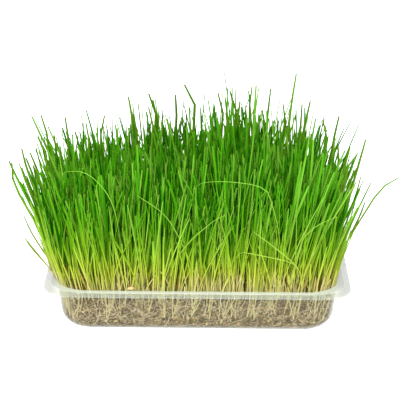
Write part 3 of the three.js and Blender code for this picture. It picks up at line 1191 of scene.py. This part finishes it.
def rootOf(spot):
    # the place in the upright turf that has grown out to this spot, kept inside the bowl
    x, y = spot.x, spot.y
    for _ in range(30):
        found = grown(x, y, spot.z)
        x -= 0.6 * (found[0] - spot.x)
        y -= 0.6 * (found[1] - spot.y)
    while not insideBowl(x, y, longForm["margin"]):
        x, y = x * 0.99, y * 0.99
    return x, y


def longCourse(tip, spot):
    # up with the turf to the spot, and in an eased turn from there to the tip
    x, y = rootOf(spot)
    low = soilTop - turfForm["rooted"]
    rings, tipRings = longForm["rings"], longForm["tipRings"]
    points = [Vector(grown(x, y, low + (spot.z - low) * i / rings)) for i in range(rings + 1)]
    gap = spot - points[-1]
    points = [point + gap * (i / rings) ** 1.2 for i, point in enumerate(points)]
    heading = (points[-1] - points[-2]).normalized() * (tip - spot).length * 0.5
    for i in range(1, tipRings + 1):
        t = i / tipRings
        points.append(spot * (1 - t) ** 2 + (spot + heading) * 2 * t * (1 - t) + tip * t * t)
    return points


def makeLongBlades(template, material):
    form = longForm
    shape = coordinates(template.data)
    fine = bladeTemplate(bladeForm["fineRings"])
    fineShape = coordinates(fine.data)
    blades = []
    for tip, spot in longBlades:
        path = pointPath(longCourse(Vector(tip) * mm, Vector(spot) * mm))
        width = between(*form["width" if tip[2] > form["low"] else "lowWidth"]) * mm
        points = bladePoints(shape, path, width, between(*form["turn"]), between(*form["twist"]))
        blades.append(copyPlaced(template, points, tone=between(*form["tone"]), dryness=form["dryness"]))
    form = archForm
    for course in archingBlades:
        path = pointPath(smoothed([Vector(p) * mm for p in course], form["steps"]))
        width = (between(*form["width"]) if course[-1][2] > form["low"] else form["lowWidth"]) * mm
        points = bladePoints(fineShape, path, width, between(*form["turn"]), form["twist"])
        blades.append(copyPlaced(fine, points, tone=form["tone"], dryness=0.0))
    bpy.data.objects.remove(fine)
    finishJoined("longBlades", blades, material, "grass")


# dry sheaths at the foot of the blades
sheathForm = {
    "sheaths": 1100,
    "height": (8 * mm, 26 * mm),
    "width": (0.9 * mm, 1.8 * mm),
    "stray": 5 * mm,
    "edgeShadeShare": 0.45,  # most of those that show stand round the edge
    "edgeReach": (1.5, 9),  # in millimetres
    "margin": 1.3 * mm,  # from the bowl's wall
    "overhang": 6 * mm,  # the most that a tip leans out over the rim
    "bend": (1, 2),
    "twist": (-2, 2),
    "dryness": (0.7, 1),
}


def makeSheaths(template, material):
    form = sheathForm
    shape = coordinates(template.data)
    sheaths = []
    while len(sheaths) < form["sheaths"]:
        if chance.random() < form["edgeShadeShare"]:
            spot, _ = wallSpot(chance.random(), soilTop, between(*form["edgeReach"]) * mm)
            x, y = spot.x, spot.y
        else:
            x, y = anySpot(13 * mm)
        if not insideBowl(x, y, form["margin"]):
            continue
        driftX, driftY = form["stray"] * chance.gauss(0, 1), form["stray"] * chance.gauss(0, 0.7)
        height = between(*form["height"])
        driftX, driftY = driftX * height / form["height"][1], driftY * height / form["height"][1]
        top = grown(x, y, soilTop + height)
        if not insideBowl(top[0] + driftX, top[1] + driftY, -form["overhang"]):
            continue
        path = turfPath(x, y, height, driftX, driftY, between(*form["bend"]))
        points = bladePoints(shape, path, between(*form["width"]), anyAngle(), between(*form["twist"]))
        sheaths.append(copyPlaced(template, points, tone=chance.random(), dryness=between(*form["dryness"])))
    finishJoined("drySheaths", sheaths, material, "grass")


# roots against the clear wall and floor
rootForm = {
    "roots": 1400,
    "height": (2, 28),  # of the end that it starts from, in millimetres
    "length": (7, 26),  # in millimetres
    "lengthLeast": 2 * mm,  # from end to end
    "width": (0.14 * mm, 0.32 * mm),
    "clearance": 0.55 * mm,
    "further": (0, 0.7),  # in from there, in millimetres
    "lowest": 1.6 * mm,
    "wallRound": 0.72,  # the way round the wall
    "wriggle": 0.12,
    "rings": 6,
    "points": 12,
}


def makeRoots(material):
    form = rootForm
    template = unitTube("rootTemplate", form["rings"])
    bpy.ops.object.mode_set(mode="OBJECT")
    smooth(template, 180)
    shape = coordinates(template.data)
    roots = []
    for _ in range(form["roots"]):
        turn, z = chance.random(), between(*form["height"]) * mm
        heading, length = anyAngle(), between(*form["length"]) * mm
        clearance = form["clearance"] + between(*form["further"]) * mm
        step = length / (form["points"] - 1)
        course = []
        for _ in range(form["points"]):
            course.append(wallSpot(turn, z, clearance)[0])
            turn += math.cos(heading) * step / form["wallRound"]
            z = min(max(z + math.sin(heading) * step, form["lowest"]), soilTop)
            heading += chance.gauss(0, form["wriggle"])
        if (course[-1] - course[0]).length < form["lengthLeast"]:
            continue
        points = bladePoints(shape, pointPath(course), between(*form["width"]), 0.0, 0.0)
        roots.append(copyPlaced(template, points, tone=chance.random()))
    bpy.data.objects.remove(template)
    finishJoined("fineRoots", roots, material, "growing_medium")


# wheat seeds on and in the medium
seedForm = {
    "onTop": 330,
    "topMargin": 4.5 * mm,  # from the bowl's wall
    "topTilt": (-0.4, 0.4),
    "topScale": (0.85, 1.1),
    "topLift": (0.2, 1.2),  # over the medium, in millimetres
    "atWall": 150,
    "wallScale": (0.8, 1.05),
    "wallDepth": 2.1 * mm,
    "wallLowest": 7 * mm,
    "length": 6.4 * mm,
    "girth": 3.1 * mm,
    "flatness": 0.85,
    "creaseDepth": 0.55 * mm,
    "fallen": Vector((-52.2, -75.6, 39.2)) * mm,  # one that lies on the rim
    "fallenScale": (0.9, 0.54, 0.9),
    "fallenTurn": 85,  # in degrees
}


def seedTemplate():
    # a grain: a ball drawn out long, with a crease pressed in along one side
    form = seedForm
    scale = (form["girth"], form["girth"] * form["flatness"], form["length"])
    noneSelected()
    bpy.ops.mesh.primitive_uv_sphere_add(segments=10, ring_count=7, radius=0.5, location=(0, 0, 0),
                                         enter_editmode=True)
    piece = bpy.context.object
    piece.name = "seedTemplate"
    bpy.ops.transform.resize(value=scale, center_override=(0, 0, 0))

    def inCrease(vertex):
        across, front, along = vertex.co
        return abs(across) < 0.1 * mm and front < 0 and abs(along) < 0.45 * form["length"]

    selectWhere(piece, "verts", inCrease)
    bpy.ops.transform.translate(value=(0, form["creaseDepth"], 0))
    bpy.ops.object.mode_set(mode="OBJECT")
    smooth(piece, 50)
    return piece


def makeSeeds(material):
    form = seedForm
    template = seedTemplate()
    shape = coordinates(template.data)
    seeds = []
    while len(seeds) < form["onTop"]:
        x, y = anySpot(14 * mm)
        if not insideBowl(x, y, form["topMargin"]):
            continue
        lying = Quaternion((0, 0, 1), between(0, 6.28))
        lying = lying @ Quaternion((1, 0, 0), math.pi / 2 + between(*form["topTilt"]))
        rolled = lying @ Quaternion((0, 0, 1), between(0, 6.28))
        size = between(*form["topScale"])
        points = turned(shape, size, rolled, (x, y, soilTop + between(*form["topLift"]) * mm))
        seeds.append(copyPlaced(template, points, tone=chance.random()))
    for _ in range(form["atWall"]):
        turn, z = chance.random(), between(form["wallLowest"], soilTop - 1 * mm)
        place, out = wallSpot(turn, z, form["wallDepth"])
        flat = out.to_track_quat("Y", "Z") @ Quaternion((0, 1, 0), between(0, 3.14))
        points = turned(shape, between(*form["wallScale"]), flat, place)
        seeds.append(copyPlaced(template, points, tone=chance.random()))
    lying = Quaternion((0, 1, 0), math.radians(form["fallenTurn"]))
    points = turned(shape, form["fallenScale"], lying, form["fallen"])
    seeds.append(copyPlaced(template, points, tone=0.9))
    bpy.data.objects.remove(template)
    finishJoined("wheatSeeds", seeds, material, "growing_medium")


cameraForm = {
    "target": Vector((1.3, 0, 87.2)) * mm,
    "distance": 1.39,
    "elevation": 19.0,
    "azimuth": 0.3,
    "roll": 0.45,
    "lens": 152.6,
}


def makeCamera():
    form = cameraForm
    rise, turn = math.radians(form["elevation"]), math.radians(form["azimuth"])
    back = Vector((math.sin(turn) * math.cos(rise), -math.cos(turn) * math.cos(rise), math.sin(rise)))
    camera = bpy.data.objects.new("camera", bpy.data.cameras.new("camera"))
    bpy.context.collection.objects.link(camera)
    camera.location = form["target"] + back * form["distance"]
    look = (-back).to_track_quat("-Z", "Y") @ Quaternion((0, 0, 1), math.radians(form["roll"]))
    camera.rotation_euler = look.to_euler()
    camera.data.lens = form["lens"]
    camera.data.sensor_width = 36
    camera.data.clip_start = 0.05
    bpy.context.scene.camera = camera


stageForm = {
    "floorRadius": 4,
    "floorColour": paint(250, 250, 250),
    "floorGlow": 0.7,
    "sky": 0.7,
    "sunHeading": Vector((0.02, 1.0, -0.8)),
    "sunPower": 3.1,
    "sunSpread": 14,  # in degrees
    "lampAim": Vector((0, 0, 0.08)),
    "lampSize": 0.9,
    "lamps": {"fillLamp": ((-0.9, -1.0, 0.6), 5), "topLamp": ((-0.2, 0.3, 1.4), 6)},  # place and power
}


def addLight(name, kind, heading, power):
    lamp = bpy.data.objects.new(name, bpy.data.lights.new(name, kind))
    bpy.context.collection.objects.link(lamp)
    lamp.data.energy = power
    lamp.rotation_euler = heading.to_track_quat("-Z", "Y").to_euler()
    return lamp


def makeStage():
    form = stageForm
    noneSelected()
    bpy.ops.mesh.primitive_circle_add(vertices=96, radius=form["floorRadius"], fill_type="NGON",
                                      location=(0, 0, 0))
    floor = bpy.context.object
    floor.name = "paleFloor"
    look = Look("paleFloor")
    floor.data.materials.append(look.surface(look.shader({
        "Base Color": form["floorColour"],
        "Roughness": 0.9,
        "Specular IOR Level": 0.1,
        "Emission Color": paint(255, 255, 255),
        "Emission Strength": form["floorGlow"],
    })))
    world = bpy.context.scene.world or bpy.data.worlds.new("softWorld")
    bpy.context.scene.world = world
    world.use_nodes = True
    sky = world.node_tree.nodes["Background"].inputs
    sky["Color"].default_value = (1, 1, 1, 1)
    sky["Strength"].default_value = form["sky"]
    sun = addLight("softSun", "SUN", form["sunHeading"], form["sunPower"])
    sun.data.angle = math.radians(form["sunSpread"])
    for name, (place, power) in form["lamps"].items():
        lamp = addLight(name, "AREA", form["lampAim"] - Vector(place), power)
        lamp.location = place
        lamp.data.size = form["lampSize"]
    bpy.context.scene.view_settings.view_transform = "Standard"
    print("stage: floor, sun and", len(form["lamps"]), "lamps")


makeCamera()
makeTray(plasticMaterial())
makeMedium(mediumMaterial())
makeChips(chipMaterial())
makeRoots(rootMaterial())
makeSeeds(seedMaterial())
grass = grassMaterial()
blade = bladeTemplate(bladeForm["rings"])
makeTurf(blade, grass)
makeEdgeShoots(blade, grass)
makeLongBlades(blade, grass)
makeSheaths(blade, grass)
bpy.data.objects.remove(blade)
makeStage()
